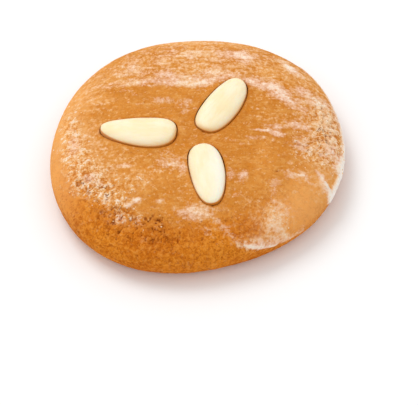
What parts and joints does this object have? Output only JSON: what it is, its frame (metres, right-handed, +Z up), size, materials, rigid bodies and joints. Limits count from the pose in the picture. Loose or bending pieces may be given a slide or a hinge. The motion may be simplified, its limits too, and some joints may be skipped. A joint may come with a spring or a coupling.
{
  "type": "round lebkuchen with almonds",
  "caption": "Round domed gingerbread biscuit with a thin patchy sugar glaze and blanched almond halves set in its top.",
  "frame": {"origin": "middle of the round's box at the height of its flat base, on the surface it rests on", "axes": "+Z up out of the glazed top; +Y away from the viewer of the picture, +X to the viewer's right"},
  "size_m": [0.0874, 0.0874, 0.0201],
  "materials": {
    "dough": "soft baked spiced dough, matte, with a thin patchy sugar glaze",
    "almond": "smooth blanched almond, satin",
    "glaze": "dried white sugar glaze, matte to satin"
  },
  "bodies": {
    "root": {"dough": "dough", "almond_left": "almond", "almond_back": "almond", "almond_front": "almond"}
  },
  "joints": []
}
